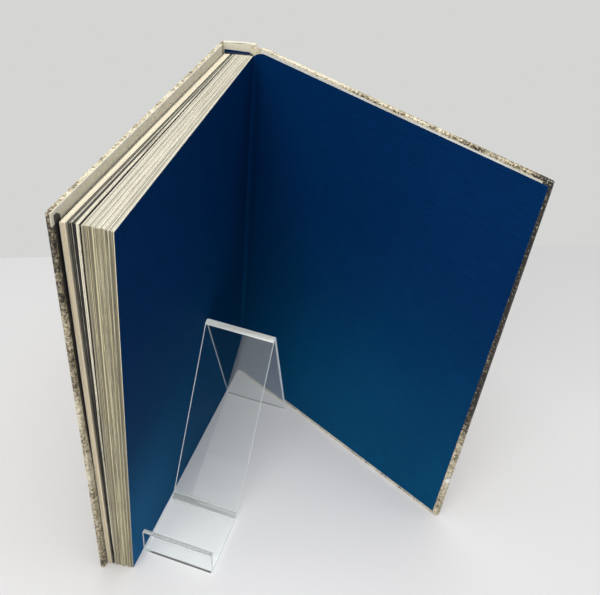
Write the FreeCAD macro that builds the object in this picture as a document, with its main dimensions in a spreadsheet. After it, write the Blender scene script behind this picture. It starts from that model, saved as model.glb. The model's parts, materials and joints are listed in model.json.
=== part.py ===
import FreeCAD, Part
import math
import os
import re
import Sketcher
from FreeCAD import Placement, Rotation, Vector

# A case-bound album standing on its tail edge with its back cover open in a V,
# and the bent acrylic easel that stands inside the V.
# +Z is up, -Y faces the viewer, the origin is under the middle of the whole group.
# The gutter is the vertical fold where the back cover meets the leaves.

doc = FreeCAD.newDocument("display_album")

# ---- driving dimensions, in millimetres and degrees
driving_dimensions = [
    ("gutterX", -88.0, "gutter fold from the origin, across"),
    ("gutterY", 106.7, "gutter fold from the origin, to the back"),
    ("boardHeight", 300.0, "height of the case"),
    ("boardWidth", 210.0, "width of each cover"),
    ("coreThick", 2.2, "greyboard inside a cover"),
    ("wrapThick", 0.3, "paper wrapped round a panel"),
    ("turnIn", 15.0, "paper folded over on the inside of a cover"),
    ("pasteThick", 0.2, "one endpaper leaf"),
    ("pasteInset", 3.0, "bare edge round a pasted endpaper"),
    ("openAngle", 65.0, "back cover from the leaves"),
    ("backJoint", 6.5, "gutter to the edge of the back board"),
    ("flapStart", 1.5, "gutter to the paper that crosses the back joint"),
    ("frontJoint", 7.5, "gutter line to the edge of the front board"),
    ("innerFace", 18.5, "gutter to the inside of the front cover"),
    ("leafHeight", 293.0, "height of the leaves"),
    ("leafBack", 0.5, "gutter line to the back of the leaves"),
    ("turnSlack", 0.3, "room behind leaves that turn"),
    ("foreLeft", 213.2, "gutter line to the fore-edge of the front leaves"),
    ("foreRight", 210.2, "gutter line to the fore-edge of the back leaves"),
    ("spineLean", 16.0, "how far the spine has swung from square"),
    ("spineWidth", 22.1, "spine panel"),
    ("spineCore", 1.6, "card inside the spine panel"),
    ("spineHingeX", 20.5, "gutter to the spine panel's hinged edge, across"),
    ("spineHingeY", 2.0, "gutter to the spine panel's hinged edge, to the front"),
    ("spineTurnIn", 7.0, "covering folded over inside the spine panel"),
    ("backWidth", 18.9, "back of all the leaves, along its lean"),
    ("liningThick", 0.25, "one layer glued to the back of the leaves"),
    ("tapeWidth", 12.0, "sewing tape"),
    ("mullEnd", 14.0, "end of the leaves to the end of the mull"),
    ("bandRadius", 0.5, "bead of a headband"),
    ("bandFlap", 12.0, "cloth flap of a headband"),
    ("standWidth", 51.5, "easel, side to side"),
    ("standDepth", 168.0, "easel, rear foot to the front of the lip"),
    ("sheetThick", 3.0, "acrylic sheet"),
    ("crestDepth", 52.8, "rear foot to the top bend"),
    ("crestHeight", 134.2, "top bend, where its outer faces would meet"),
    ("foldDepth", 118.1, "rear foot to the fold under the backrest"),
    ("lipHeight", 26.0, "top of the lip"),
    ("bendInner", 1.2, "inside of a heat bend"),
    ("bendOuter", 4.2, "outside of a heat bend"),
    ("standSide", 1.95, "gutter to the easel's left side"),
    ("standRear", 29.0, "gutter to the easel's rear foot"),
]

sheet = doc.addObject("Spreadsheet::Sheet", "Dims")
for row, (alias, value, meaning) in enumerate(driving_dimensions, start=1):
    sheet.set("A%d" % row, meaning)
    sheet.set("B%d" % row, str(value))
    sheet.setAlias("B%d" % row, alias)
doc.recompute()
aliases = [alias for alias, value, meaning in driving_dimensions]


def size(expression):
    """The value of an expression written in the sheet's names."""
    return float(sheet.evalExpression(expression))


def bind(obj, field, expression):
    """Drive a field of an object by an expression written in the sheet's names."""
    named = re.sub(r"[A-Za-z]\w*", lambda word: ("Dims." if word.group() in aliases else "") + word.group(), expression)
    obj.setExpression(field, named)


parts = []


def finish(obj, label):
    """Give an object the name that its file takes, and list it as a piece."""
    obj.Label = label
    parts.append(obj)
    return obj


def shifted(x, y, z):
    return Placement(Vector(x, y, z), Rotation())


def frame_at(x, y, turn=0.0):
    """A frame at a place measured from the gutter, turned about the vertical."""
    place = Vector(size("gutterX") + x, size("gutterY") + y, 0)
    return Placement(place, Rotation(Vector(0, 0, 1), turn))


def box(name, sizes, corner=("0", "0", "0"), frame=Placement()):
    """A box with its sizes bound to the sheet and its corner given in a frame."""
    solid = doc.addObject("Part::Box", name)
    for field, expression in zip(("Length", "Width", "Height"), sizes):
        bind(solid, field, expression)
    solid.Placement = frame.multiply(shifted(*[size(value) for value in corner]))
    return solid


# ---- covers and spine panel
# Local X runs away from the joint and local Y through the thickness.


def wrapped_panel(core_label, skin_label, width, core, turn_in, frame, inside_is_low, flap=None):
    """A stiff panel, and the paper that wraps it and is folded over round its inside."""
    inner_size = (width + " - 2 * wrapThick", core, "boardHeight - 2 * wrapThick")
    inner_corner = ("wrapThick", "wrapThick", "wrapThick")
    finish(box(core_label, inner_size, inner_corner, frame), core_label)
    outside = box(skin_label + "_outside", (width, core + " + 2 * wrapThick", "boardHeight"))
    hollow = box(skin_label + "_hollow", inner_size, inner_corner)
    window = box(
        skin_label + "_window",
        ("%s - 2 * %s" % (width, turn_in), "wrapThick", "boardHeight - 2 * " + turn_in),
        (turn_in, "0" if inside_is_low else core + " + wrapThick", turn_in),
    )
    space = doc.addObject("Part::MultiFuse", skin_label + "_space")
    space.Shapes = [hollow, window]
    skin = doc.addObject("Part::Cut", skin_label + "_wrap")
    skin.Base = outside
    skin.Tool = space
    if flap:
        joined = doc.addObject("Part::MultiFuse", skin_label + "_joined")
        joined.Shapes = [skin, flap]
        skin = joined
    skin.Placement = frame
    finish(skin, skin_label)


def pastedown(label, frame, low_side):
    """The endpaper leaf glued over the inside of a cover."""
    sizes = ("boardWidth - pasteInset", "pasteThick", "boardHeight - 2 * pasteInset")
    finish(box(label, sizes, ("0", low_side, "pasteInset"), frame), label)


# The front cover is closed against the leaves, so its inside faces +X.
front_outer = -size("innerFace + coreThick + 2 * wrapThick + pasteThick")
front_frame = frame_at(front_outer, -size("frontJoint"), -90)
wrapped_panel("front_board", "front_cover_paper", "boardWidth", "coreThick", "turnIn", front_frame, False)
pastedown("front_pastedown", front_frame, "coreThick + 2 * wrapThick")

# The back cover is open by openAngle, and its inside faces the leaves.
back_turn = size("openAngle") - 90
back_frame = frame_at(0, 0, back_turn).multiply(shifted(size("backJoint"), size("pasteThick"), 0))
joint_flap = box(
    "back_joint_flap",
    ("backJoint - flapStart", "wrapThick", "boardHeight"),
    ("flapStart - backJoint", "0", "0"),
)
wrapped_panel("back_board", "back_cover_paper", "boardWidth", "coreThick", "turnIn", back_frame, True, joint_flap)
pastedown("back_pastedown", back_frame, "-pasteThick")

# The spine panel has swung away from the leaves about its edge beside the front cover.
spine_edge = frame_at(-size("spineHingeX"), -size("spineHingeY"), size("spineLean"))
spine_frame = spine_edge.multiply(shifted(0, -size("spineCore + 2 * wrapThick"), 0))
wrapped_panel("spine_inlay", "spine_covering", "spineWidth", "spineCore", "spineTurnIn", spine_frame, True)

# ---- leaves
# Every group of leaves is a ruled solid between its outline on the table and its
# outline at the head, because the fore-edge leans over towards the open side.


def outline(name, corners, height):
    """A closed outline whose corners are bound to the sheet."""
    sketch = doc.addObject("Sketcher::SketchObject", name)
    sketch.Placement = shifted(0, 0, height)
    points = [Vector(size(x), size(y), 0) for x, y in corners]
    count = len(points)
    for index in range(count):
        sketch.addGeometry(Part.LineSegment(points[index], points[(index + 1) % count]))
    for index in range(count):
        sketch.addConstraint(Sketcher.Constraint("Coincident", index, 2, (index + 1) % count, 1))
    for index, (x, y) in enumerate(corners):
        for kind, expression in (("DistanceX", x), ("DistanceY", y)):
            number = sketch.addConstraint(Sketcher.Constraint(kind, -1, 1, index, 1, size(expression)))
            bind(sketch, "Constraints[%d]" % number, expression)
    return sketch


def leaf_group(label, back, tail, head, slack="0"):
    """Leaves between a left and a right face. Each pair holds where the two faces
    lie across from the gutter: at the back, at the fore-edge's tail and at its head."""

    def back_corner(x):
        return "%.3f" % x, "%.3f * tan(spineLean) - leafBack - %s" % (x, slack)

    def fore_corner(x):
        share = min(1.0, max(0.0, -x / size("innerFace")))
        return "%.3f" % x, "-foreRight - (foreLeft - foreRight) * %.3f" % share

    def corners(fore):
        return [back_corner(back[0]), fore_corner(fore[0]), fore_corner(fore[1]), back_corner(back[1])]

    loft = doc.addObject("Part::Loft", label)
    loft.Sections = [
        outline(label + "_tail", corners(tail), 0),
        outline(label + "_head", corners(head), size("leafHeight")),
    ]
    loft.Solid = True
    loft.Ruled = True
    loft.Placement = frame_at(0, 0)
    finish(loft, label)


leaf_group("front_flyleaf", (-18.2, -18.0), (-18.2, -18.0), (-17.6, -17.4), "turnSlack")
leaf_group("cream_leaves", (-18.0, -14.5), (-18.0, -14.6), (-17.4, -13.6), "turnSlack")
leaf_group("plate_leaves", (-13.9, -12.0), (-14.1, -12.9), (-13.1, -8.7), "turnSlack")

# The main block is sewn in sections. Each takes a share of its thickness.
section_gap = 0.1
section_shares = [0.12, 0.30, 0.16, 0.13, 0.17, 0.12]
block_faces = [(-11.5, -0.3), (-12.4, 0.1), (-6.6, 8.5)]
used_share = 0.0
for number, share in enumerate(section_shares, start=1):
    faces = []
    for left, right in block_faces:
        start = left + (right - left) * used_share
        faces.append((start, start + (right - left) * share - section_gap))
    leaf_group("leaf_section_%d" % number, *faces)
    used_share += share
leaf_group("back_flyleaf", (-0.2, 0.0), (0.2, 0.4), (8.6, 8.8))

# ---- what holds the sections together, in layers behind them
# Local X runs along the back from the front cover's side, local Y away from the leaves.
lining_left = -18.2
lining_frame = frame_at(lining_left, size("%.3f * tan(spineLean) - leafBack" % lining_left), size("spineLean"))
tape_heights = {"sewing_tape_head": 0.78, "sewing_tape_middle": 0.5, "sewing_tape_tail": 0.22}
for label, share in tape_heights.items():
    sizes = ("backWidth", "liningThick", "tapeWidth")
    finish(box(label, sizes, ("0", "0", "leafHeight * %.2f - tapeWidth / 2" % share), lining_frame), label)
mull_height = "leafHeight - 2 * mullEnd"
for label, layer in (("mull", "liningThick"), ("spine_liner", "2 * liningThick")):
    sizes = ("backWidth", "liningThick", mull_height)
    finish(box(label, sizes, ("0", layer, "mullEnd"), lining_frame), label)


def headband(label, bead_height, flap_low):
    """A cloth flap glued to the back of the leaves, with a cord in its folded edge."""
    flap = box(label + "_flap", ("backWidth", "liningThick", "bandFlap"), ("0", "0", flap_low))
    bead = doc.addObject("Part::Cylinder", label + "_bead")
    bind(bead, "Radius", "bandRadius")
    bind(bead, "Height", "backWidth")
    bead.Placement = Placement(
        Vector(0, size("bandRadius"), size(bead_height)), Rotation(Vector(0, 1, 0), 90)
    )
    band = doc.addObject("Part::MultiFuse", label + "_joined")
    band.Shapes = [flap, bead]
    band.Placement = lining_frame
    finish(band, label)


headband("headband_head", "leafHeight + bandRadius / 2", "leafHeight - bandFlap")
headband("headband_tail", "bandRadius", "0")

# ---- the easel, one strip of acrylic bent three times
# Sketch X is the row's Y, so a distance from the rear foot to the front is negative.
body = doc.addObject("PartDesign::Body", "Easel")
side = body.newObject("Sketcher::SketchObject", "EaselSide")
plane = [feature for feature in body.Origin.OriginFeatures if feature.Role == "YZ_Plane"][0]
side.AttachmentSupport = [(plane, "")]
side.MapMode = "FlatFace"
leg_slope = math.atan2(size("crestHeight"), size("crestDepth"))
driven = [
    ("0", "sheetThick * %.4f" % math.cos(leg_slope)),
    ("-crestDepth", "crestHeight"),
    ("-foldDepth", "sheetThick"),
    ("sheetThick - standDepth", "sheetThick"),
    ("sheetThick - standDepth", "lipHeight"),
]
face = [Vector(size(x), size(y), 0) for x, y in driven]


def offset_face(points, distance):
    """The other face of a bent strip, each corner where its two offset runs meet."""
    runs = []
    for first, last in zip(points, points[1:]):
        along = (last - first).normalize()
        across = Vector(along.y, -along.x, 0) * -distance
        runs.append((first + across, last + across, along))
    moved = [runs[0][0]]
    for (first, last, along), (start, end, onward) in zip(runs, runs[1:]):
        step = ((start.x - first.x) * onward.y - (start.y - first.y) * onward.x) / (
            along.x * onward.y - along.y * onward.x
        )
        moved.append(first + along * step)
    moved.append(runs[-1][1])
    return moved


other = offset_face(face, size("sheetThick"))
run_count = len(face) - 1
for points in (face, other):
    for first, last in zip(points, points[1:]):
        side.addGeometry(Part.LineSegment(first, last))
side.addGeometry(Part.LineSegment(face[0], other[0]))
side.addGeometry(Part.LineSegment(face[-1], other[-1]))
foot_cap = 2 * run_count
lip_cap = foot_cap + 1
for start in (0, run_count):
    for index in range(start, start + run_count - 1):
        side.addConstraint(Sketcher.Constraint("Coincident", index, 2, index + 1, 1))
side.addConstraint(Sketcher.Constraint("Coincident", foot_cap, 1, 0, 1))
side.addConstraint(Sketcher.Constraint("Coincident", foot_cap, 2, run_count, 1))
side.addConstraint(Sketcher.Constraint("Coincident", lip_cap, 1, run_count - 1, 2))
side.addConstraint(Sketcher.Constraint("Coincident", lip_cap, 2, foot_cap - 1, 2))
for index, (x, y) in enumerate(driven):
    line, end = (index, 1) if index < run_count else (index - 1, 2)
    for kind, expression in (("DistanceX", x), ("DistanceY", y)):
        number = side.addConstraint(Sketcher.Constraint(kind, -1, 1, line, end, size(expression)))
        bind(side, "Constraints[%d]" % number, expression)
for index in range(run_count):
    side.addConstraint(Sketcher.Constraint("Parallel", index, run_count + index))
    number = side.addConstraint(Sketcher.Constraint("Distance", run_count + index, 1, index, size("sheetThick")))
    bind(side, "Constraints[%d]" % number, "sheetThick")
side.addConstraint(Sketcher.Constraint("Perpendicular", foot_cap, 0))
side.addConstraint(Sketcher.Constraint("Perpendicular", lip_cap, run_count - 1))

strip = body.newObject("PartDesign::Pad", "EaselStrip")
strip.Profile = side
bind(strip, "Length", "standWidth")
doc.recompute()


def bends(solid, corners):
    """The names of the edges that run across the strip at these corners."""
    names = []
    for number, edge in enumerate(solid.Shape.Edges, start=1):
        middle = edge.CenterOfMass
        for corner in corners:
            if math.hypot(middle.y - corner.x, middle.z - corner.y) < 0.01:
                names.append("Edge%d" % number)
    return names


for name, corners, radius in (
    ("EaselOutsideBends", (face[1], other[2], other[3]), "bendOuter"),
    ("EaselInsideBends", (other[1], face[2], face[3]), "bendInner"),
):
    bend = body.newObject("PartDesign::Fillet", name)
    bend.Base = (strip, bends(strip, corners))
    bind(bend, "Radius", radius)
    strip = bend
    doc.recompute()
body.Placement = frame_at(size("standSide"), -size("standRear"))
finish(body, "acrylic_easel")

# ---- check, then write one file for each piece
doc.recompute()
for obj in doc.Objects:
    if "Invalid" in obj.State or "Error" in obj.State:
        raise RuntimeError("%s failed: %s" % (obj.Name, obj.State))
whole = FreeCAD.BoundBox()
os.makedirs("parts", exist_ok=True)
for obj in parts:
    if obj.Shape.isNull() or not obj.Shape.isValid() or not obj.Shape.Solids:
        raise RuntimeError("%s has no sound solid" % obj.Label)
    whole.add(obj.Shape.BoundBox)
for obj in parts:
    obj.Shape.exportStep("parts/%s.step" % obj.Label)
    print("%-20s %10.1f mm3  %d solid(s)" % (obj.Label, obj.Shape.Volume, len(obj.Shape.Solids)))
print("%d pieces, X %.2f to %.2f, Y %.2f to %.2f, Z %.2f to %.2f" % (
    len(parts), whole.XMin, whole.XMax, whole.YMin, whole.YMax, whole.ZMin, whole.ZMax))
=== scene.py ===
import json
import math
import random

import bmesh
import bpy
from mathutils import Matrix, Vector, noise
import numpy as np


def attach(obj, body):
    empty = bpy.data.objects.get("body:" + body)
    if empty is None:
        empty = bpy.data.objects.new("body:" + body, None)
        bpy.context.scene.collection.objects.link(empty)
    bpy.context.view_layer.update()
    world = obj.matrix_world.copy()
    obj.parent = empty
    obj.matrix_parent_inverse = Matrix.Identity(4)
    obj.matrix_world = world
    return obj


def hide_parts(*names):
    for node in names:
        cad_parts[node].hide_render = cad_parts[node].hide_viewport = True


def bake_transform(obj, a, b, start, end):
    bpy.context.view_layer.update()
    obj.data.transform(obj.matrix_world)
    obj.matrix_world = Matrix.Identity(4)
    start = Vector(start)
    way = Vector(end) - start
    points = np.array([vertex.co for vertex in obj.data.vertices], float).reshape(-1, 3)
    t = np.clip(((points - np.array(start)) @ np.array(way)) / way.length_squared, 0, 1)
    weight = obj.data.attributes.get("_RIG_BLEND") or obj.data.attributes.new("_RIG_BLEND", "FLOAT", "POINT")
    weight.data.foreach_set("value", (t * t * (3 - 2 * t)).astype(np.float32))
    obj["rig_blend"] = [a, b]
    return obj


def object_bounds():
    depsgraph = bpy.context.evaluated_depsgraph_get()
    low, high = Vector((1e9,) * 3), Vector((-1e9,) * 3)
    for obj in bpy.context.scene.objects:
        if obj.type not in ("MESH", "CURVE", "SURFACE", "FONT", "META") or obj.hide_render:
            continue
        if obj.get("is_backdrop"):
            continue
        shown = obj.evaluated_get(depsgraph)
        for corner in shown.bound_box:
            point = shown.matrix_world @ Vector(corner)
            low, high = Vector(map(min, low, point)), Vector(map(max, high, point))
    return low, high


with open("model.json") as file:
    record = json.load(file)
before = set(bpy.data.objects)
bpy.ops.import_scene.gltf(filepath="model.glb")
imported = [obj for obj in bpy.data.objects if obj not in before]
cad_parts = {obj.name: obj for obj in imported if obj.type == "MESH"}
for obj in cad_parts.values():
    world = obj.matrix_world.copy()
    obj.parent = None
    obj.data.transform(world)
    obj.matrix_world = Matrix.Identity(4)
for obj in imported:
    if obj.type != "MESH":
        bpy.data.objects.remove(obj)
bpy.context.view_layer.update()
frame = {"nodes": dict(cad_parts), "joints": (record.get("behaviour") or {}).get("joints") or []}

print("frame loaded:", len(frame["nodes"]), "nodes")

joints = {joint["name"]: joint for joint in frame["joints"]}
gutter = Vector(joints["back_cover_hinge"]["pos_m"])  # foot of the fold between leaves and back cover

album = {
    "openAngle": 65.0,  # degrees from the leaves to the back cover
    "spineLean": 16.0,  # degrees that the spine has swung out
    "leafHeight": 0.293,
    "leafBack": 0.0005,  # gutter line to the backs of the leaves
    "turnSlack": 0.0003,  # room behind the leaves that turn
    "innerFace": 0.0185,  # gutter to the inside of the front cover
    "foreLeft": 0.2132,  # gutter line to the fore-edge of the front leaves
    "foreRight": 0.2102,  # and of the back leaves
}
lean = math.tan(math.radians(album["spineLean"]))


def mix(a, b, share):
    return a + (b - a) * share


def smooth(share):
    share = min(1.0, max(0.0, share))
    return share * share * (3.0 - 2.0 * share)


def planFrame(origin, degrees):  # local X along the panel, local Y through it
    return Matrix.Translation(origin) @ Matrix.Rotation(math.radians(degrees), 4, "Z")


class Wire:  # a socket that shader maths can be written with
    def __init__(self, tree, socket):
        self.tree = tree
        self.socket = socket

    def node(self, kind, settings=None, inputs=None, output=0):
        made = self.tree.nodes.new("ShaderNode" + kind)
        for key, value in (settings or {}).items():
            if key == "stops":
                ramp = made.color_ramp
                while len(ramp.elements) < len(value):
                    ramp.elements.new(0.5)
                for element, (place, colour) in zip(ramp.elements, value):
                    element.position = place
                    element.color = (*colour, 1.0)
            else:
                setattr(made, key, value)
        for key, value in (inputs or {}).items():
            self.feed(made.inputs[key], value)
        return Wire(self.tree, made.outputs[output])

    def feed(self, socket, value):
        if isinstance(value, Wire):
            self.tree.links.new(value.socket, socket)
        elif socket.type == "RGBA" and len(value) == 3:
            socket.default_value = (*value, 1.0)
        else:
            socket.default_value = value

    def math(self, operation, first, second=0.0, third=0.0):
        values = {0: first, 1: second, 2: third}
        return self.node("Math", {"operation": operation}, values)

    def __add__(self, other):
        return self.math("ADD", self, other)

    def __radd__(self, other):
        return self.math("ADD", other, self)

    def __sub__(self, other):
        return self.math("SUBTRACT", self, other)

    def __rsub__(self, other):
        return self.math("SUBTRACT", other, self)

    def __mul__(self, other):
        return self.math("MULTIPLY", self, other)

    def __truediv__(self, other):
        return self.math("DIVIDE", self, other)

    def above(self, low, high):  # 0 under low, 1 over high, eased between
        settings = {"interpolation_type": "SMOOTHSTEP"}
        return self.node("MapRange", settings, {"Value": self, "From Min": low, "From Max": high})

    def tint(self, dark, light):  # a colour between two, by this value
        return self.node("Mix", {"data_type": "RGBA"}, {0: self, 6: dark, 7: light}, 2)

    def shade(self, factor):  # this colour, darker or lighter
        scaled = {0: self, "Scale": factor}
        return self.node("VectorMath", {"operation": "SCALE"}, scaled)

    def stretched(self, scale):
        return self.node("Mapping", None, {"Vector": self, "Scale": scale})

    def noise(self, scale, detail=3.0, rough=0.55, warp=0.0):
        inputs = {"Vector": self, "Scale": scale, "Detail": detail, "Roughness": rough, "Distortion": warp}
        return self.node("TexNoise", None, inputs)

    def only(self, operation):  # a Math node that takes one value
        return self.math(operation, self)

    def part(self, axis):  # one of a vector's three numbers
        return self.node("SeparateXYZ", None, {0: self}, "XYZ".index(axis))


class Finish:  # a material and the sockets that its patterns start from
    def __init__(self, name):
        self.material = bpy.data.materials.new(name)
        self.material.use_nodes = True
        self.tree = self.material.node_tree
        self.shader = self.tree.nodes["Principled BSDF"]
        self.start = Wire(self.tree, None)
        self.place = self.start.node("TexCoord", None, None, "Object")
        self.normal = self.start.node("TexCoord", None, None, "Normal")
        self.flat = self.start.node("UVMap", {"uv_map": "Flat"})

    def attribute(self, name):
        return self.start.node("Attribute", {"attribute_name": name}, None, "Fac")

    def set(self, **values):
        for key, value in values.items():
            self.start.feed(self.shader.inputs[key.replace("_", " ")], value)

    def bump(self, height, distance, strength=1.0):
        inputs = {"Height": height, "Distance": distance, "Strength": strength}
        self.set(Normal=self.start.node("Bump", None, inputs))


def slab(bm, across, up, place, span=(1.0, 1.0), marks=None):
    # A closed slab of across x up cells. place(s, t, k) puts its corners in the frame:
    # s and t run from 0 to 1 over the sheet, and k is 0 on one face and 1 on the other.
    flat = bm.loops.layers.uv.get("Flat") or bm.loops.layers.uv.new("Flat")
    store = bm.verts.layers.float
    layers = {name: store.get(name) or store.new(name) for name in (marks or {})}
    sheet = bmesh.ops.create_grid(bm, x_segments=across, y_segments=up, size=0.5)["verts"]
    faces = list({face for vert in sheet for face in vert.link_faces})
    grown = bmesh.ops.extrude_face_region(bm, geom=faces)["geom"]
    raised = [item for item in grown if isinstance(item, bmesh.types.BMVert)]
    bmesh.ops.translate(bm, verts=raised, vec=(0, 0, 1))
    verts = sheet + raised
    for face in {face for vert in verts for face in vert.link_faces}:
        for loop in face.loops:
            loop[flat].uv = ((loop.vert.co.x + 0.5) * span[0], (loop.vert.co.y + 0.5) * span[1])
    for vert in verts:
        s, t, k = vert.co.x + 0.5, vert.co.y + 0.5, vert.co.z
        for name, value in (marks or {}).items():
            vert[layers[name]] = value(s, t, k) if callable(value) else value
        vert.co = place(s, t, k)
    return verts


def roundEdges(bm, width, segments=3, sharper=50.0):
    limit = math.radians(sharper)
    edges = [edge for edge in bm.edges if edge.is_manifold and edge.calc_face_angle() > limit]
    bmesh.ops.bevel(bm, geom=edges, offset=width, segments=segments, profile=0.5, affect="EDGES", material=-1)


def piece(name, bm, finish, slotName, replaced=(), smoothUnder=35.0):
    bmesh.ops.recalc_face_normals(bm, faces=bm.faces[:])
    mesh = bpy.data.meshes.new(name)
    bm.to_mesh(mesh)
    bm.free()
    mesh.polygons.foreach_set("use_smooth", [True] * len(mesh.polygons))
    mesh.set_sharp_from_angle(angle=math.radians(smoothUnder))
    mesh.materials.append(finish.material)
    made = bpy.data.objects.new(name, mesh)
    bpy.context.scene.collection.objects.link(made)
    if replaced:
        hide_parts(*replaced)
    return made


def along(points, share):
    # a point of a polyline, by its share of the length
    lengths = [(b - a).length for a, b in zip(points, points[1:])]
    left = share * sum(lengths)
    for (a, b), length in zip(zip(points, points[1:]), lengths):
        if left <= length:
            return a.lerp(b, left / length)
        left -= length
    return points[-1].copy()


def rounded(points, rounds=3):
    # corners cut again and again, so that a folded strip bends instead of creasing
    for turn in range(rounds):
        cut = [points[0]]
        for a, b in zip(points, points[1:]):
            cut += [a.lerp(b, 0.25), a.lerp(b, 0.75)]
        points = cut + [points[-1]]
    return points


def strip(bm, points, low, high, thick, cells=24, up=30):
    # a paper strip that stands on edge and follows a line seen from above, thick towards its left
    line = rounded([Vector((x, y, 0.0)) / 1000 for x, y in points])

    def place(s, t, k):
        here = along(line, s)
        ahead, behind = along(line, min(1.0, s + 0.01)), along(line, max(0.0, s - 0.01))
        run = (ahead - behind).normalized()
        side = Vector((-run.y, run.x, 0.0))
        return gutter + here + side * thick * k + Vector((0, 0, mix(low, high, t)))

    slab(bm, cells, up, place, (0.01, high - low), {"reverse": lambda s, t, k: float(k)})


def endpaperFinish():
    look = {
        # head and tail: a darker and a lighter copy of the blue, for the painted light by height
        "head": ((0.0002, 0.020, 0.086), (0.0005, 0.034, 0.135)),
        "tail": ((0.0006, 0.052, 0.132), (0.0010, 0.082, 0.195)),
        "paintedFootLight": (0.008, 0.125, 0.30), "core": (0.78, 0.76, 0.68),
    }
    finish = Finish("EndpaperBlue")
    grain = finish.flat.stretched((140.0, 1300.0, 1.0)).noise(1.0, 4.0, 0.6)
    cloud = finish.place.noise(9.0, 3.0)
    fibre = finish.flat.stretched((900.0, 420.0, 1.0)).noise(1.0, 2.0, 0.7, 0.6)
    shade = ((grain * 1.0 + cloud * 0.35 + fibre * 0.3) / 1.65).above(0.3, 0.7)
    paintedLightByHeight = finish.place.part("Z").above(-0.02, 0.24)  # painted light: paler and greener towards the tail, as if more light came up from the table there
    blue = paintedLightByHeight.tint(shade.tint(*look["tail"]), shade.tint(*look["head"]))
    outer = (0.03 - finish.place.part("Y")).above(0.0, 0.13)
    low = (0.14 - finish.place.part("Z")).above(0.0, 0.13)
    blue = (outer * low).tint(blue, look["paintedFootLight"])  # painted light: the flyleaf's outer foot is made paler, as if lit more from the table
    core = finish.attribute("reverse").above(0.25, 0.45)
    colour = core.tint(blue, look["core"])
    finish.set(Base_Color=colour, Roughness=0.72 - grain * 0.12, Specular_IOR_Level=0.03)
    finish.bump(grain * 0.7 + fibre * 0.3, 0.00014, 1.0)
    return finish


def coreFinish():
    look = {"clean": (0.86, 0.85, 0.79), "stained": (0.74, 0.70, 0.58)}
    finish = Finish("EndpaperLining")
    fibre = finish.place.noise(900.0, 3.0, 0.6)
    stain = finish.place.noise(30.0, 3.0).above(0.42, 0.72)
    finish.set(
        Base_Color=stain.tint(look["clean"], look["stained"]).shade(0.94 + fibre * 0.1),
        Roughness=0.8,
    )
    finish.bump(fibre, 0.00005)
    return finish


def coverFinish():
    look = {
        "black": (0.014, 0.012, 0.010), "brown": (0.13, 0.095, 0.058), "olive": (0.30, 0.255, 0.155),
        "tan": (0.60, 0.51, 0.34), "cream": (0.86, 0.79, 0.61),
        "bare": (0.88, 0.83, 0.68), "gapShadowColour": (0.006, 0.006, 0.008), "chip": (0.95, 0.93, 0.88),
    }
    finish = Finish("MottledCoverPaper")
    drift = finish.place.noise(16.0, 4.0, 0.6, 0.8)
    patch = finish.place.noise(70.0, 5.0, 0.62, 1.6)
    grit = finish.place.noise(640.0, 3.0, 0.7, 0.4)
    fleck = finish.place.noise(1500.0, 2.0, 0.6)
    value = drift * 0.8 + patch * 0.8 + grit * 1.6 - finish.attribute("dusk") * 0.24 - 0.94
    places = {"black": 0.22, "brown": 0.36, "olive": 0.47, "tan": 0.60, "cream": 0.76}
    stops = [(place, look[name]) for name, place in places.items()]
    ground = value.node("ValToRGB", {"stops": stops}, {"Fac": value})
    pepper = fleck.above(0.57, 0.66) * 0.6
    printed = pepper.tint(ground, look["black"])
    salt = (1.0 - finish.place.noise(760.0, 2.0, 0.6).above(0.30, 0.40)) * 0.6
    printed = salt.tint(printed, look["cream"])
    worn = finish.attribute("rim") * finish.place.noise(210.0, 4.0, 0.7).above(0.54, 0.70)
    worn = worn * (1.0 - finish.attribute("dusk") * 0.7)
    colour = (worn * 0.7).tint(printed, look["cream"])
    colour = (finish.attribute("bare").above(0.42, 0.56) * 0.85).tint(colour, look["bare"])
    # painted shadow: the turn-in along the fore-edge goes near-black, where the gap to the leaves is in shade
    colour = (finish.attribute("hollow").above(0.30, 0.55) * 0.95).tint(colour, look["gapShadowColour"])
    colour = finish.attribute("chip").above(0.3, 0.6).tint(colour, look["chip"])
    finish.set(Base_Color=colour, Roughness=0.5 + grit * 0.2 + worn * 0.2, Specular_IOR_Level=0.4)
    finish.bump(grit * 0.5 + fleck * 0.3 - worn * 0.6, 0.00007, 0.7)
    return finish


def spineFinish():
    look = {"clean": (0.80, 0.76, 0.62), "stained": (0.70, 0.64, 0.49), "rubbed": (0.30, 0.31, 0.20)}
    finish = Finish("SpinePaper")
    fibre = finish.place.noise(1100.0, 3.0, 0.6)
    stain = finish.place.noise(26.0, 4.0, 0.6)
    rub = finish.attribute("rim") * finish.place.noise(260.0, 4.0, 0.7).above(0.52, 0.66)
    base = stain.above(0.35, 0.72).tint(look["clean"], look["stained"])
    colour = (rub * 0.55).tint(base, look["rubbed"]).shade(0.95 + fibre * 0.1)
    finish.set(Base_Color=colour, Roughness=0.55 + fibre * 0.12)
    finish.bump(fibre * 0.5 - rub * 0.4, 0.00005, 0.8)
    return finish


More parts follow.
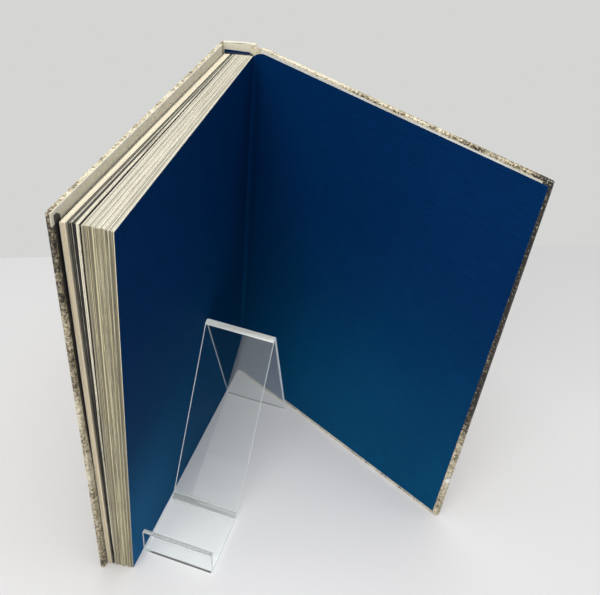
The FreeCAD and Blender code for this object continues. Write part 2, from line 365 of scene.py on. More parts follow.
def leafFinish(name, look):
    # An edge is cut paper with its own tone and the ink that bleeds off the page, and a face is a page.
    finish = Finish(name)
    tone = finish.attribute("tone")
    ink = finish.attribute("ink")
    upward = finish.normal.part("Z").above(0.5, 0.8)
    ways = (900.0, 260.0, 11.0), (900.0, 13.0, 260.0)  # streaks run up the fore-edge, and back along the head
    streaks = [finish.place.stretched(way).noise(1.0, 4.0, 0.62, 0.5) for way in ways]
    streak = upward.node("Mix", {"data_type": "FLOAT"}, {0: upward, 2: streaks[0], 3: streaks[1]})
    speck = finish.place.stretched((700.0, 700.0, 240.0)).noise(1.0, 3.0, 0.65)
    fibre = finish.place.noise(1500.0, 2.0, 0.6)
    paper = tone.tint(look["edgeDark"], look["edgeLight"])
    paper = (upward * look["clean"]).tint(paper, look["head"])  # painted light and less dust and toning: the upward-facing head is made paler, as light falls on it from above
    bled = (streak + ink * look["inkSpread"] + speck * 0.16).above(look["inkFrom"], look["inkFrom"] + 0.16)
    edge = (bled * (1.0 - upward * 0.45) * look["inkDepth"]).tint(paper, look["ink"])
    edge = (speck.above(0.58, 0.74) * 0.35).tint(edge, look["edgeDark"])
    facing = finish.normal.part("X").only("ABSOLUTE").above(0.8, 0.9)
    picture = finish.place.stretched((1.0, 14.0, 17.0)).noise(1.0, 5.0, 0.6, 1.2)
    grain = finish.place.stretched((1.0, 120.0, 120.0)).noise(1.0, 5.0, 0.7, 0.3)
    page = (picture * 0.8 + grain * 0.35 - 0.08).above(0.3, 0.7).tint(look["pageDark"], look["pageLight"])
    # one page is printed to its edges
    page = page.shade(1.0 - finish.attribute("printed") * (0.98 - picture * 0.12))
    colour = facing.tint(edge, page).shade(0.94 + fibre * 0.12)
    finish.set(Base_Color=colour, Roughness=look["rough"] + fibre * 0.15, Specular_IOR_Level=0.35)
    finish.bump(speck * 0.5 + fibre * 0.5, 0.00006, 0.7)
    return finish


def clothFinish(name, dark, light, thread):
    # plain weave: two sets of threads that pass over each other
    finish = Finish(name)
    spots = {}
    for axis in "XZ":
        turns = finish.place.part(axis) * (math.pi / thread)
        spots[axis] = turns.only("SINE")
    over = (spots["X"] * spots["Z"]).above(-0.3, 0.3)
    threads = {0: over, 2: spots["X"].only("ABSOLUTE"), 3: spots["Z"].only("ABSOLUTE")}
    ridge = over.node("Mix", {"data_type": "FLOAT"}, threads)
    fuzz = finish.place.noise(2200.0, 2.0, 0.7)
    height = ridge * 0.8 + fuzz * 0.3
    finish.set(
        Base_Color=height.above(0.1, 0.9).tint(dark, light), Roughness=0.85, Sheen_Weight=0.15,
    )
    finish.bump(height, 0.00012, 0.9)
    return finish


def fibreFinish(name, dark, light, scale, rough):
    finish = Finish(name)
    flecks = finish.place.stretched((scale, scale, scale * 0.35)).noise(1.0, 5.0, 0.65, 0.4)
    fine = finish.place.noise(1400.0, 3.0, 0.7)
    finish.set(
        Base_Color=(flecks * 0.7 + fine * 0.3).above(0.35, 0.68).tint(dark, light),
        Roughness=rough + fine * 0.12,
    )
    finish.bump(flecks * 0.5 + fine * 0.5, 0.00008)
    return finish


def acrylicFinish():
    look = {
        "tint": (0.955, 0.97, 0.97), "shadow": (0.975, 0.985, 0.988), "smear": 0.02,
        # dull and pale: painted dark shade and painted highlight for the frosted parts; glow: the painted glow
        # of the sawn edges
        "paintedDarkFrost": (0.17, 0.19, 0.185), "pale": (0.97, 0.965, 0.90),
        "glow": (0.50, 0.60, 0.66), "dark": (0.0, 0.0, 0.0),
    }
    finish = Finish("ClearAcrylic")
    mark = finish.attribute("cut")
    haze = finish.place.noise(18.0, 4.0, 0.6, 0.8).above(0.5, 0.8)
    hair = finish.place.stretched((260.0, 30.0, 30.0)).noise(1.0, 3.0, 0.7, 1.0).above(0.66, 0.74)
    finish.set(
        Base_Color=look["tint"],
        Roughness=(haze * 0.5 + hair) * look["smear"],
        Transmission_Weight=1.0,
        IOR=1.49,
        Specular_IOR_Level=0.5,
        Emission_Color=mark.above(0.9, 1.0).tint(look["dark"], look["glow"]),  # painted light: the sawn edges glow, standing in for light piped to them
        Emission_Strength=1.0,
    )
    # light passes through to the table, so the easel's shadow stays faint
    ray = finish.start.node("LightPath", None, None, "Is Shadow Ray")
    clear = finish.start.node("BsdfTransparent", None, {"Color": look["shadow"]}, "BSDF")
    shell = Wire(finish.tree, finish.shader.outputs["BSDF"])
    paintedDarkFrost, pale = (
        finish.start.node("BsdfDiffuse", None, {"Color": look[name]}, "BSDF") for name in ("paintedDarkFrost", "pale")
    )
    frostWithPaintedLight = finish.start.node("MixShader", None, {0: mark.above(0.5, 0.85), 1: paintedDarkFrost, 2: pale}, 0)
    cut = mark * 0.66  # sawn edges and heat bends scatter some light, and carry painted light: a pale painted highlight on the crest and edges, painted dark shade on the fold and lip
    shell = finish.start.node("MixShader", None, {0: cut, 1: shell, 2: frostWithPaintedLight}, 0)
    joined = finish.start.node("MixShader", None, {0: ray, 1: shell, 2: clear}, 0)
    output = finish.tree.nodes["Material Output"]
    finish.tree.links.new(joined.socket, output.inputs["Surface"])
    return finish


endpaper, core, coverPaper, spinePaper = endpaperFinish(), coreFinish(), coverFinish(), spineFinish()
textLeaf = leafFinish("TextLeaves", {
    "edgeDark": (0.34, 0.27, 0.14), "edgeLight": (1.0, 0.92, 0.61), "ink": (0.09, 0.07, 0.045),
    # clean and head: how much of the paler head colour the upward faces take, partly painted light
    "clean": 0.55, "head": (1.0, 0.985, 0.92), "inkFrom": 0.75, "inkSpread": 0.5, "inkDepth": 0.85,
    "pageDark": (0.70, 0.66, 0.54), "pageLight": (0.80, 0.77, 0.66), "rough": 0.66,
})
creamLeaf = leafFinish("CreamLeaves", {
    "edgeDark": (0.80, 0.68, 0.48), "edgeLight": (0.92, 0.80, 0.60), "ink": (0.36, 0.30, 0.20),
    # clean and head: how much of the paler head colour the upward faces take, partly painted light
    "clean": 0.6, "head": (0.93, 0.88, 0.72), "inkFrom": 0.92, "inkSpread": 0.5, "inkDepth": 0.5,
    "pageDark": (0.74, 0.67, 0.49), "pageLight": (0.82, 0.76, 0.58), "rough": 0.7,
})
plateLeaf = leafFinish("PlateLeaves", {
    "edgeDark": (0.03, 0.028, 0.025), "edgeLight": (0.95, 0.88, 0.68), "ink": (0.014, 0.013, 0.013),
    # clean and head: how much of the paler head colour the upward faces take, partly painted light
    "clean": 0.2, "head": (0.85, 0.82, 0.70), "inkFrom": 0.64, "inkSpread": 0.3, "inkDepth": 0.92,
    "pageDark": (0.012, 0.012, 0.012), "pageLight": (0.20, 0.196, 0.186), "rough": 0.42,
})
linen = clothFinish("LinenTape", (0.42, 0.38, 0.29), (0.80, 0.76, 0.66), 0.00055)
mullCloth = clothFinish("StarchedMull", (0.50, 0.47, 0.39), (0.84, 0.81, 0.74), 0.0009)
bandCloth = clothFinish("HeadbandSilk", (0.002, 0.004, 0.014), (0.007, 0.014, 0.045), 0.0005)
kraft = fibreFinish("KraftLiner", (0.30, 0.19, 0.10), (0.52, 0.37, 0.22), 160.0, 0.72)
greyboard = fibreFinish("Greyboard", (0.24, 0.22, 0.19), (0.46, 0.43, 0.37), 220.0, 0.85)
acrylic = acrylicFinish()
print("finishes made")

for names, finish in (
    (("front_board", "back_board", "spine_inlay"), greyboard),
    (("sewing_tape_head", "sewing_tape_middle", "sewing_tape_tail"), linen),
    (("mull",), mullCloth),
    (("spine_liner",), kraft),
):
    for name in names:
        materials = frame["nodes"][name].data.materials
        materials.clear()
        materials.append(finish.material)


# The leaves, each one a sheet of its own. A group's faces are its left and its right, in mm from the gutter:
# at the back, at the fore-edge's tail and at the fore-edge's head.
leaves = {
    "cells": (9, 26),
    "size": (0.21, 0.293),
    "sections": {  # CAD node: leaves in it, and how far its fore-edge stands back, in mm
        "leaf_section_1": (6, 0.10),
        "leaf_section_2": (15, 0.45),
        "leaf_section_3": (8, 0.0),
        "leaf_section_4": (7, 0.6),
        "leaf_section_5": (9, 0.15),
        "leaf_section_6": (6, 0.40),
    },
    "shares": (0.12, 0.30, 0.16, 0.13, 0.17, 0.12),
    "sectionGap": 0.02,  # share of the block between two sections
    "seed": 100,
    "reachGain": 0.003,  # how much further the leaves by the front cover reach
    "trim": 0.00035,
    "lift": 0.00025,
    "roughEdge": 0.00022,
    "endLeaf": 1.7,  # weight of the block's last leaf, which is stiffer
}
# even: how alike the leaves are in thickness, ragged and wave: in metres, fill: the share of its room that a
# leaf's thickness takes, pale: under 1 makes more leaves light, stark: leaves are all light or dark
textStock = {
    "faces": ((-11.45, -12.55, -7.4), (-0.42, -0.03, 8.35)), "even": 0.4, "ragged": 0.0004, "wave": 0.00016,
    "fill": 0.78, "pale": 0.45, "stark": False, "slack": 0.0, "fills": (0.3, 0.75, 1.0, 1.15, 1.2, 1.2),
}
creamStock = {
    "faces": ((-17.95, -17.95, -17.35), (-14.55, -15.15, -14.75)), "even": 2.0, "ragged": 0.00022,
    "wave": 0.00012, "fill": 0.92, "pale": 1.0, "stark": False, "slack": album["turnSlack"],
    "fills": (0.95, 1.0, 1.05), "count": 9, "seed": 21, "standBack": 0.0002,
}
plateStock = {
    "faces": ((-13.85, -14.65, -14.15), (-12.05, -12.95, -8.35)), "even": 0.5, "ragged": 0.0006, "wave": 0.0004,
    "fill": 0.9, "pale": 0.65, "stark": True, "slack": album["turnSlack"], "fills": (0.6, 1.0, 1.1),
    "count": 12, "seed": 35, "standBack": 0.0009,
}


def leafGroup(name, replaced, finish, slotName, body, stock, span, count, seed, standBack):
    dice = random.Random(seed)
    bm = bmesh.new()
    weights = [stock["even"] + dice.random() for number in range(count)]
    if name == "textLeaves6":
        weights[-1] = leaves["endLeaf"]
    total, done = sum(weights), 0.0
    for weight in weights:
        first = span[0] + (span[1] - span[0]) * done / total
        done += weight
        room = (span[1] - span[0]) * weight / total
        back = standBack + dice.uniform(-stock["ragged"], stock["ragged"])
        trim, lift = dice.uniform(0.0, leaves["trim"]), dice.uniform(0.0, leaves["lift"])
        phase, waver = dice.uniform(0, 50), dice.uniform(0.4, 1.0) * stock["wave"]
        fill = stock["fill"] * dice.choice(stock["fills"])

        def place(s, t, k):  # used up by slab before the next leaf
            q = first + room * k * min(1.0, fill)
            rear, tail, head = (mix(a, b, q) / 1000 for a, b in zip(*stock["faces"]))
            fore = mix(tail, head, t)
            hold = 4.0 * q * (1.0 - q)
            sway = noise.noise(Vector((phase * 0.04 + q * 6.0, t * 3.2, s * 1.5))) * waver * s * hold
            x = mix(rear, fore, s) + sway
            reach = album["foreRight"] + leaves["reachGain"] * min(1.0, max(0.0, -fore / album["innerFace"]))
            rough = noise.noise(Vector((phase, t * 5.0, 0.0))) * leaves["roughEdge"]
            y = mix(rear * lean - album["leafBack"] - stock["slack"], -reach + back + rough, s)
            z = mix(lift, album["leafHeight"] - trim, t)
            return gutter + Vector((x, y, z))

        tone, ink = dice.random() ** stock["pale"], dice.random()
        tone = float(round(tone)) if stock["stark"] else tone
        if name == "textLeaves6" and weight is weights[-1]:  # the endpaper's own stiff, clean leaf
            tone, ink = 1.0, 0.0
        printed = 1.0 if name == "textLeaves1" and first == 0.0 else 0.0
        slab(bm, *leaves["cells"], place, leaves["size"], {"tone": tone, "ink": ink, "printed": printed})
    made = piece(name, bm, finish, slotName, replaced)
    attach(made, body)
    return made


start = 0.0
for number, ((node, (count, standBack)), share) in enumerate(zip(leaves["sections"].items(), leaves["shares"])):
    gap = leaves["sectionGap"] if number < len(leaves["sections"]) - 1 else 0.0
    leafGroup("textLeaves%d" % (number + 1), (node,), textLeaf, "leaves", "text_block", textStock,
              (start, start + share - gap), count, leaves["seed"] + number, standBack / 1000)
    start += share
for name, node, finish, body, stock in (
    ("creamLeaves", "cream_leaves", creamLeaf, "front_leaves", creamStock),
    ("plateLeaves", "plate_leaves", plateLeaf, "plate_section", plateStock),
):
    leafGroup(name, (node,), finish, node, body, stock, (0.0, 1.0), stock["count"], stock["seed"],
              stock["standBack"])
print("leaves made")

# The endpapers: each is blue on one side, with a pale lining under the pasted half.
papers = {
    "thick": 0.00012,
    "edge": 0.0002,  # trimmed off the leaves' height
    "fan": (0.0002, 0.0088),  # how far the flyleaf has swung out, at its tail and its head
    "crowding": 2.1,  # above 1 sets the cells closer at the fold
    "sheet": (0.424, 0.297),
    "fold": 0.0012,  # how far from the gutter the fold is round
    "groove": 0.0005,  # dip over the joint
    "grooveSpan": ((0.001, 0.0016), (0.0042, 0.002)),  # where it starts and ends, and how softly
    "pasteHead": 0.297,
    "pasteTail": 0.003,
    "pasteFore": 0.2118,  # pasted a little askew
    "pasteForeHead": 0.2151,
    "cells": (64, 24),
}
opened = math.radians(90.0 - album["openAngle"])
coverRun = Vector((math.cos(opened), -math.sin(opened), 0.0))
coverOut = Vector((math.sin(opened), math.cos(opened), 0.0))


def backSheet(s, t, k):
    # from the flyleaf's fore-edge, s 0, through the gutter to the pastedown's, s 1
    signed = 2.0 * s - 1.0
    far = abs(signed) ** papers["crowding"]
    out = smooth(abs(signed) * 5.0 - 0.2) if signed > 0 else 0.0
    low = mix(papers["edge"], papers["pasteTail"], out)
    high = mix(album["leafHeight"] - papers["edge"], papers["pasteHead"], out)
    z = mix(low, high, t)

    def leafSide(d):
        fan = mix(*papers["fan"], z / album["leafHeight"])
        return Vector((fan * d / album["foreRight"], -d, 0.0))

    def boardSide(d):
        (begin, rise), (end, fall) = papers["grooveSpan"]
        dip = smooth((d - begin) / rise) * (1.0 - smooth((d - end) / fall))
        return coverRun * d + coverOut * papers["groove"] * dip

    if signed < 0:
        reach = far * album["foreRight"]
    else:
        reach = far * mix(papers["pasteFore"], papers["pasteForeHead"], t)
    turn = smooth(0.5 + 0.5 * math.copysign(min(1.0, reach / papers["fold"]), signed))
    if reach < papers["fold"]:
        share = 0.5 + 0.5 * math.copysign(reach / papers["fold"], signed)
        ends = leafSide(papers["fold"]), Vector((0, 0, 0)), boardSide(papers["fold"])
        here = ends[0].lerp(ends[1], share).lerp(ends[1].lerp(ends[2], share), share)
    else:
        here = leafSide(reach) if signed < 0 else boardSide(reach)
    out = Vector((-1, 0, 0)).lerp(coverOut, turn).normalized()
    return gutter + here + out * papers["thick"] * k + Vector((0, 0, z))


bm = bmesh.new()
slab(bm, *papers["cells"], backSheet, papers["sheet"], {"reverse": lambda s, t, k: float(k)})
backEndpaper = piece("backEndpaper", bm, endpaper, "endpaper", ("back_flyleaf", "back_pastedown"))
halfway = math.radians(album["openAngle"] / 2)
across = Vector((math.cos(halfway), math.sin(halfway), 0.0))
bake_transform(backEndpaper, "text_block", "back_cover", gutter - across * 0.002, gutter + across * 0.002)

lining = {
    "run": (0.0066, 0.2112), "out": (0.00013, 0.0003), "tail": 0.0024, "head": 0.2982,
    "lift": 0.0006,  # how much higher the head is at the joint
    "cells": (30, 30), "size": (0.2075, 0.295),
}


def backLiningSheet(s, t, k):
    z = mix(lining["tail"], lining["head"] + lining["lift"] * (1.0 - s) ** 3, t)
    return gutter + coverRun * mix(*lining["run"], s) + coverOut * mix(*lining["out"], k) + Vector((0, 0, z))


bm = bmesh.new()
slab(bm, *lining["cells"], backLiningSheet, lining["size"])
backLining = piece("backLining", bm, core, "endpaper")
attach(backLining, "back_cover")


frontPaper = {  # in metres from the gutter
    "cells": (24, 24), "flySize": (0.21, 0.293), "pasteSize": (0.207, 0.294),
    "rear": -0.0182, "foreHead": -0.0176, "flyBack": 0.00015,
    "paste": {"x": (-0.0185, -0.01862), "y": (-0.0075, -0.2106), "z": (0.0044, 0.2906)},
    "lining": {"x": (-0.01863, -0.0187), "y": (-0.0076, -0.2108), "z": (0.0042, 0.2909)},
    "hinge": (  # seen from above, in mm
        (-18.28, -5.85), (-18.4, -5.45), (-20.1, -4.6), (-20.45, -4.7),
        (-19.1, -6.5), (-18.56, -7.3), (-18.52, -8.0),
    ),
    "hingeRange": (0.0045, 0.2906, 0.0001),
}


def frontFly(s, t, k):
    rear = frontPaper["rear"]
    x = mix(rear, mix(rear, frontPaper["foreHead"], t), s) + papers["thick"] * k
    y = mix(rear * lean - album["leafBack"] - album["turnSlack"], -album["foreLeft"] + frontPaper["flyBack"], s)
    return gutter + Vector((x, y, mix(papers["edge"], album["leafHeight"] - papers["edge"], t)))


def pasted(part):
    return lambda s, t, k: gutter + Vector((mix(*part["x"], k), mix(*part["y"], s), mix(*part["z"], t)))


bm = bmesh.new()
slab(bm, *frontPaper["cells"], frontFly, frontPaper["flySize"], {"reverse": lambda s, t, k: float(k)})
frontFlyleaf = piece("frontFlyleaf", bm, endpaper, "endpaper", ("front_flyleaf",))
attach(frontFlyleaf, "front_leaves")

bm = bmesh.new()
slab(bm, *frontPaper["cells"], pasted(frontPaper["paste"]), frontPaper["pasteSize"],
     {"reverse": lambda s, t, k: float(k)})
frontPastedown = piece("frontPastedown", bm, endpaper, "endpaper", ("front_pastedown",))
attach(frontPastedown, "front_cover")
bm = bmesh.new()
slab(bm, *frontPaper["cells"], pasted(frontPaper["lining"]), frontPaper["pasteSize"])
frontLining = piece("frontLining", bm, core, "endpaper")
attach(frontLining, "front_cover")

bm = bmesh.new()
strip(bm, frontPaper["hinge"], *frontPaper["hingeRange"])
frontHinge = piece("frontHinge", bm, endpaper, "endpaper")
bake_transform(frontHinge, "text_block", "front_cover", gutter + Vector((-0.0190, -0.0054, 0)),
         gutter + Vector((-0.01965, -0.0058, 0)))
print("endpapers made")

# The covers: boards wrapped in mottled paper that is folded in round their edges.
covers = {
    "length": 0.210, "height": 0.300, "thick": 0.0028, "cells": (42, 60),
    "backRun": 0.0065, "backOut": 0.0002,  # from the gutter line to the back board's corner
    "frontCorner": (-0.0187, -0.0075, 0.0),
    "round": 0.0006,
    "corner": 0.0025,  # how far in from a corner the rubbing starts
    "blunt": 0.3,
    "wear": 0.004,  # width of the worn rim
    "edgeBand": 0.0008, "edgeRough": 0.00014, "roughScale": (130, 400),
    "innerSide": 0.0004,  # depth that still counts as the inner face
    # painted shadow on the turn-in by the fore-edge: its band, where it starts up the edge, and the gap left at
    # the head
    "shadowBand": (0.008, 0.001), "shadowFrom": (0.05, 0.14), "shadowHeadGap": 0.003,
    "plainHead": 0.0085,
    "chipWidth": 0.0032, "chipAt": 0.046, "chipSoft": 0.0026, "bump": (0.006, 0.003),
}
backCorner = gutter + coverRun * covers["backRun"] + coverOut * covers["backOut"]
backFrame = Matrix.Translation(backCorner) @ Matrix.Rotation(-opened, 4, "Z")
frontFrame = Matrix.Translation(gutter + Vector(covers["frontCorner"])) @ Matrix.Rotation(-math.pi / 2, 4, "Z")


def frontShade(x, z):  # where the print is darker: the fore-edge, above and below its middle
    return smooth((x - 0.197) / 0.01) * (smooth((z - 0.165) / 0.03) + 0.8 * smooth((0.11 - z) / 0.03))


def backShade(x, z):  # the whole fore-edge, less so near its foot, and the head away from the spine
    foreEdge = smooth((x - 0.200) / 0.008) * (1.5 * smooth((z - 0.085) / 0.05) + 0.55)
    return max(foreEdge, 0.8 * smooth((x - 0.05) / 0.12) * smooth((z - 0.28) / 0.012))


def boardSkin(frameOf, side, seed, printShade):
    # a wrapped board: k 0 is the inner face and k 1 the outer, on the side given
    bm = bmesh.new()
    long, tall, thick = covers["length"], covers["height"], covers["thick"]

    def place(s, t, k):
        return Vector((s * long, side * k * thick, t * tall))

    slab(bm, *covers["cells"], place, (long, tall))
    bmesh.ops.recalc_face_normals(bm, faces=bm.faces[:])
    roundEdges(bm, covers["round"], 3)
    rim = bm.verts.layers.float.new("rim")
    dusk, chip, hollow, bare = (bm.verts.layers.float.new(name) for name in ("dusk", "chip", "hollow", "bare"))
    along, across = covers["roughScale"]
    (shadowLow, shadowSoft), (bumpTop, bumpSoft) = covers["shadowFrom"], covers["bump"]
    for vert in bm.verts:
        x, z = vert.co.x, vert.co.z
        vert[dusk] = printShade(x, z)
        if side > 0 and x > long - covers["chipWidth"]:  # a knock on the fore-edge, and the bumped tail corner
            knock = smooth(1.6 - abs(z - covers["chipAt"]) / covers["chipSoft"])
            vert[chip] = max(knock, 0.6 * smooth((bumpTop - z) / bumpSoft))
        if side < 0 and abs(vert.co.y) < covers["innerSide"]:  # turned-in paper, with painted shadow along the fore-edge where it faces the leaves
            inner, outer = (long - edge for edge in covers["shadowBand"])
            shadowBand = inner < x < outer and z < tall - covers["shadowHeadGap"]
            vert[hollow] = smooth((z - shadowLow) / shadowSoft) if shadowBand else 0.0
            vert[bare] = 1.0 if z > tall - covers["plainHead"] else 0.0
        away = (long - x, x, tall - z, z)
        edge = min(away)
        past = x - long + covers["corner"], abs(z - tall / 2) - tall / 2 + covers["corner"]
        corner = math.hypot(*past) - covers["corner"] if min(past) > 0.0 else 0.0
        vert[rim] = max(0.0, 1.0 - edge / covers["wear"])
        rough = 0.5 + 0.5 * noise.noise(Vector((x * along + seed, z * along, vert.co.y * across)))
        if edge < covers["edgeBand"]:
            inward = Vector(((-1, 0, 0), (1, 0, 0), (0, 0, -1), (0, 0, 1))[away.index(edge)])
            vert.co += inward * rough * covers["edgeRough"]
        if corner > 0.0:
            vert.co += Vector((-1, 0, -1 if z > tall / 2 else 1)).normalized() * corner * covers["blunt"]
    bm.transform(frameOf)
    return bm


bm = boardSkin(backFrame, 1.0, 3.0, backShade)
backCover = piece("backCover", bm, coverPaper, "cover_paper", ("back_cover_paper",))
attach(backCover, "back_cover")
bm = boardSkin(frontFrame, -1.0, 11.0, frontShade)
frontCover = piece("frontCover", bm, coverPaper, "cover_paper", ("front_cover_paper",))
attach(frontCover, "front_cover")

spine = {
    "width": 0.0221, "thick": 0.0022, "height": 0.300, "cells": (14, 60),
    "bulge": 0.0005,
    "innerBulge": 0.6,  # share of the bulge on the inner face
    "round": 0.0008,
    "wear": 0.0025,
    "corner": (-0.0205, -0.002, 0.0),
}
spineFrame = planFrame(gutter + Vector(spine["corner"]), album["spineLean"])


def spineSlab(s, t, k):
    dome = spine["bulge"] * math.sin(math.pi * s)
    y = -spine["thick"] * (1.0 - k) + dome * mix(spine["innerBulge"], 1.0, k)
    return Vector((s * spine["width"], y, t * spine["height"]))


bm = bmesh.new()
slab(bm, *spine["cells"], spineSlab, (spine["width"], spine["height"]))
bmesh.ops.recalc_face_normals(bm, faces=bm.faces[:])
roundEdges(bm, spine["round"], 4)
rim = bm.verts.layers.float.new("rim")
for vert in bm.verts:
    edge = min(vert.co.x, spine["width"] - vert.co.x, vert.co.z, spine["height"] - vert.co.z)
    vert[rim] = max(0.0, 1.0 - edge / spine["wear"])
bm.transform(spineFrame)
spineCover = piece("spineCover", bm, spinePaper, "spine_paper", ("spine_covering",))
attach(spineCover, "spine_panel")

hollowPaper = {  # the strip of endpaper that lines the hollow of the spine
    "across": (0.001, 0.0185), "sink": 0.0002, "thick": 0.00028, "tail": 0.004, "head": (0.2950, 0.2940),
    "cells": (8, 20), "size": (0.0175, 0.291),
}


def hollowSheet(s, t, k):
    y = -spine["thick"] + hollowPaper["sink"] - hollowPaper["thick"] * k
    z = mix(hollowPaper["tail"], mix(*hollowPaper["head"], s), t)
    return Vector((mix(*hollowPaper["across"], s), y, z))


bm = bmesh.new()
slab(bm, *hollowPaper["cells"], hollowSheet, hollowPaper["size"], {"reverse": 0.0})
bm.transform(spineFrame)
hollowLining = piece("hollowLining", bm, endpaper, "endpaper")
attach(hollowLining, "spine_panel")

flaps = {  # the covering over each joint: its line seen from above, in mm, then tail, head and thickness
    "front": (
        ((-20.4, -2.0), (-20.9, -2.1), (-21.15, -2.9), (-21.0, -4.4),
         (-21.05, -6.0), (-21.4, -7.4), (-21.42, -8.6)),
        0.0006, 0.2994, -0.00035,
    ),
    "back": (
        ((-2.3, 0.35), (-1.9, 0.45), (-0.6, 0.75), (0.6, 0.90), (2.2, 0.14),
         (4.2, -0.85), (6.0, -1.35), (6.9, -0.9), (7.3, -0.35), (8.3, -0.62)),
        0.0006, 0.2994, -0.0003,
    ),
    "spine": (
        ((0.7, 1.72), (-0.6, 1.38), (-1.7, 1.05), (-1.95, 0.85), (-1.9, 0.6), (-1.6, 0.55)),
        0.0008, 0.2992, 0.0002,
    ),
}
bm = bmesh.new()
strip(bm, *flaps["front"])
frontJoint = piece("frontJoint", bm, coverPaper, "cover_paper")
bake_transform(frontJoint, "text_block", "front_cover", gutter + Vector((-0.0208, -0.0030, 0)),
         gutter + Vector((-0.0211, -0.0062, 0)))

bm = bmesh.new()
strip(bm, *flaps["back"])
backJoint = piece("backJoint", bm, coverPaper, "cover_paper")
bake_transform(backJoint, "text_block", "back_cover", gutter + Vector((-0.0012, 0.0006, 0)),
         gutter + Vector((0.0006, 0.0009, 0)))

bm = bmesh.new()
strip(bm, *flaps["spine"])
spineHinge = piece("spineHinge", bm, coverPaper, "cover_paper")
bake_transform(spineHinge, "spine_panel", "text_block", gutter + Vector((-0.0018, 0.00102, 0)),
         gutter + Vector((-0.0019, 0.00060, 0)))
print("covers made")

# The headbands: a corded silk bead over a cloth flap.
bands = {
    "radius": 0.0005, "width": 0.0186, "turns": 34, "rib": 0.00006,
    "out": 0.0005,
    "taper": 40.0,  # how quickly the bead's ends close
    "flap": (0.0001, 0.0003), "flapCells": (20, 12), "flapSize": (0.0186, 0.012),
    "around": 12,
    "pieces": (  # name, CAD node, the bead's height, and the flap's foot and top
        ("headbandTop", "headband_head", 0.29325, 0.281, 0.2932),
        ("headbandTail", "headband_tail", 0.0005, 0.0006, 0.012),
    ),
}
bandFrame = planFrame(gutter + Vector((-0.0182, -0.0182 * lean - 0.0005, 0)), album["spineLean"])
for name, node, centre, low, high in bands["pieces"]:
    bm = bmesh.new()
    grid = {"x_segments": 4 * bands["turns"], "y_segments": bands["around"], "size": 0.5}
    for vert in bmesh.ops.create_grid(bm, **grid)["verts"]:
        s, turn = vert.co.x + 0.5, (vert.co.y + 0.5) * math.tau
        swell = bands["radius"] - bands["rib"] * (0.5 + 0.5 * math.cos(s * bands["turns"] * math.tau))
        swell *= min(1.0, math.sqrt(min(s, 1.0 - s) * bands["taper"]) + 0.02)
        out, up = bands["out"] + swell * math.cos(turn), centre + swell * math.sin(turn)
        vert.co = Vector((s * bands["width"], out, up))
    bmesh.ops.remove_doubles(bm, verts=bm.verts[:], dist=0.000002)
    bmesh.ops.holes_fill(bm, edges=[edge for edge in bm.edges if edge.is_boundary], sides=0)

    def flap(s, t, k):
        return Vector((s * bands["width"], mix(*bands["flap"], k), mix(low, high, t)))

    slab(bm, *bands["flapCells"], flap, bands["flapSize"])
    bm.transform(bandFrame)
    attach(piece(name, bm, bandCloth, "headband", (node,), 60.0), "text_block")
print("headbands made")

# The easel: one strip of acrylic with three heat bends.
easel = {
    "left": 0.00195, "rear": -0.029, "width": 0.0515, "thick": 0.003, "length": 0.4,
    "edge": 0.00028,  # how far the sawn edges are eased
    "end": 0.0004,
    "endHaze": (0.5, 0.55),  # of the rear foot's end and the lip's
    "steps": 12,
    "tip": (0.0257, -0.150),  # above and in front of these is the lip's end
    "bends": (0.0008, 0.0055, 0.0012),  # of the crest, the fold and the lip
    # how hazy each bend is, which also picks its painted light: a pale highlight when high, dark shade when low
    "haze": (0.88, 0.32, 0.2),
    "face": ((0.0, 1.1), (-52.8, 134.2), (-118.1, 3.0), (-165.0, 3.0), (-165.0, 26.0)),
}


def easelLine():
    # points along the strip's face, each with the direction through the sheet and how hazy the sheet is there
    points = [Vector((0.0, y / 1000, z / 1000)) for y, z in easel["face"]]
    runs = [(b - a).normalized() for a, b in zip(points, points[1:])]
    through = [Vector((0.0, -run.z, run.y)) for run in runs]
    footHaze, lipHaze = easel["endHaze"]
    steps = easel["steps"]
    line = [(points[0], through[0], footHaze), (points[0] + runs[0] * easel["end"], through[0], 0.0)]
    for corner, first, last, haze, bend in zip(points[1:], through, through[1:], easel["haze"], easel["bends"]):
        toOther = first.cross(last).x
        radius = bend + easel["thick"] if toOther > 0 else -bend
        centre = corner + (first + last) / (1.0 + first.dot(last)) * radius
        for step in range(steps + 1):
            way = first.slerp(last, step / steps)
            crease = 1.0 if step in (1, steps - 1) else 0.0
            line.append((centre - way * radius, way, max(haze, crease) if 0 < step < steps else 0.0))
    line += [(points[-1] - runs[-1] * easel["end"], through[-1], 0.0), (points[-1], through[-1], lipHaze)]
    return line


line = easelLine()
bm = bmesh.new()
count = len(line) - 1


def easelSlab(s, t, k):
    here, through, haze = line[round(s * count)]
    side = Vector((mix(easel["left"], easel["left"] + easel["width"], t), easel["rear"], 0.0))
    return gutter + side + here + through * easel["thick"] * k


hazes = {"cut": lambda s, t, k: line[round(s * count)][2]}
slab(bm, count, 1, easelSlab, (easel["length"], easel["width"]), hazes)
bmesh.ops.recalc_face_normals(bm, faces=bm.faces[:])
roundEdges(bm, easel["edge"], 2, 60.0)
cut = bm.verts.layers.float["cut"]
for vert in bm.verts:
    inset = min(vert.co.x - gutter.x - easel["left"], gutter.x + easel["left"] + easel["width"] - vert.co.x)
    tipHeight, tipFront = easel["tip"]
    tip = vert.co.z > gutter.z + tipHeight and vert.co.y < gutter.y + easel["rear"] + tipFront
    if inset < easel["edge"] * 0.9 and not tip:
        vert[cut] = 1.0
acrylicEasel = piece("acrylicEasel", bm, acrylic, "acrylic", ("acrylic_easel",), 60.0)
flatten = acrylicEasel.modifiers.new("FlatFaces", "WEIGHTED_NORMAL")  # the broad faces stay optically flat
flatten.weight, flatten.keep_sharp = 100, True
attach(acrylicEasel, "easel")
print("easel made")

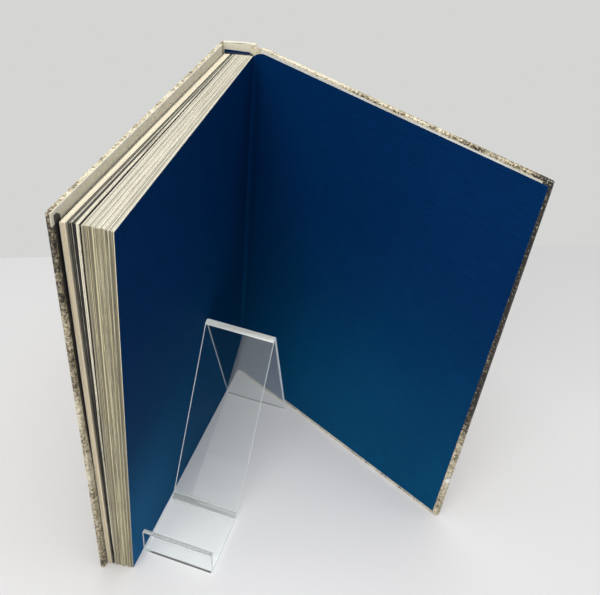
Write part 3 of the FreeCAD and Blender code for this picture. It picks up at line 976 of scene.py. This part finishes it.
studio = {
    "wallTurn": 25.4,  # degrees that the table's far edge is turned
    "wallReach": 0.303,  # from the origin to that edge
    "tableHalf": 1.5, "tableDrop": 0.0002,
    "tableDark": (0.785, 0.775, 0.77), "tableLight": (0.815, 0.805, 0.80),
    "backdrop": (0.665, 0.672, 0.655), "ambient": (0.15, 0.155, 0.165),
    "lamps": {  # place, size, power
        "softTop": ((0.05, -0.05, 1.5), 1.3, 18.5),
        "softFront": ((-0.3, -1.5, 1.1), 1.3, 14.0),
    },
}
floorPaper = Finish("PaleTable")
floorGrain = floorPaper.place.noise(380.0, 3.0, 0.6)
floorPaper.set(Base_Color=floorGrain.tint(studio["tableDark"], studio["tableLight"]), Roughness=0.5)
floorPaper.bump(floorGrain, 0.00004)
bm = bmesh.new()
bmesh.ops.create_grid(bm, x_segments=2, y_segments=2, size=studio["tableHalf"])
shift = Vector((0.0, studio["wallReach"] - studio["tableHalf"], -studio["tableDrop"]))
bmesh.ops.translate(bm, verts=bm.verts[:], vec=shift)
bm.transform(Matrix.Rotation(math.radians(studio["wallTurn"]), 4, "Z"))
floorMesh = bpy.data.meshes.new("table")
bm.to_mesh(floorMesh)
bm.free()
floorMesh.materials.append(floorPaper.material)
table = bpy.data.objects.new("table", floorMesh)
bpy.context.scene.collection.objects.link(table)
table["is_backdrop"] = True

# the backdrop is pale, and the light that it scatters is dimmer
world = bpy.data.worlds.new("studioRoom")
bpy.context.scene.world = world
world.use_nodes = True
room = Wire(world.node_tree, None)
scattered = room.node("LightPath", None, None, "Diffuse Depth").above(0.2, 0.8)
glow = scattered.tint(studio["backdrop"], studio["ambient"])
room.feed(world.node_tree.nodes["Background"].inputs["Color"], glow)
bpy.context.scene.view_settings.view_transform = "Standard"

for name, (place, size, power) in studio["lamps"].items():
    lamp = bpy.data.lights.new(name, "AREA")
    lamp.shape, lamp.size, lamp.energy = "SQUARE", size, power
    lampObject = bpy.data.objects.new(name, lamp)
    lampObject.location = place
    target = Vector((0.0, place[1] * 0.5, 0.1))
    lampObject.rotation_euler = (target - Vector(place)).to_track_quat("-Z", "Y").to_euler()
    lampObject.visible_transmission = False  # the acrylic's shadow already lets the light through
    bpy.context.scene.collection.objects.link(lampObject)

viewer = {
    "place": (0.0692, -0.3550, 0.5041), "aim": (-0.1942, 0.7331, -0.6518), "roll": 5.23,
    "lens": 46.42, "sensor": 36.0, "shift": (0.0284, 0.0023), "nearest": 0.01,
}
aim = Vector(viewer["aim"]).normalized()
level = Vector((aim.y, -aim.x, 0.0)).normalized()
rise = level.cross(aim)
roll = math.radians(viewer["roll"])
right = level * math.cos(roll) + rise * math.sin(roll)
top = rise * math.cos(roll) - level * math.sin(roll)
turned = Matrix((right, top, -aim)).transposed().to_4x4()
camera = bpy.data.cameras.new("viewer")
camera.lens, camera.sensor_width = viewer["lens"], viewer["sensor"]
camera.shift_x, camera.shift_y = viewer["shift"]
camera.clip_start = viewer["nearest"]
cameraObject = bpy.data.objects.new("viewer", camera)
cameraObject.matrix_world = Matrix.Translation(viewer["place"]) @ turned
bpy.context.scene.collection.objects.link(cameraObject)
bpy.context.scene.camera = cameraObject
print("studio made")

low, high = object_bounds()
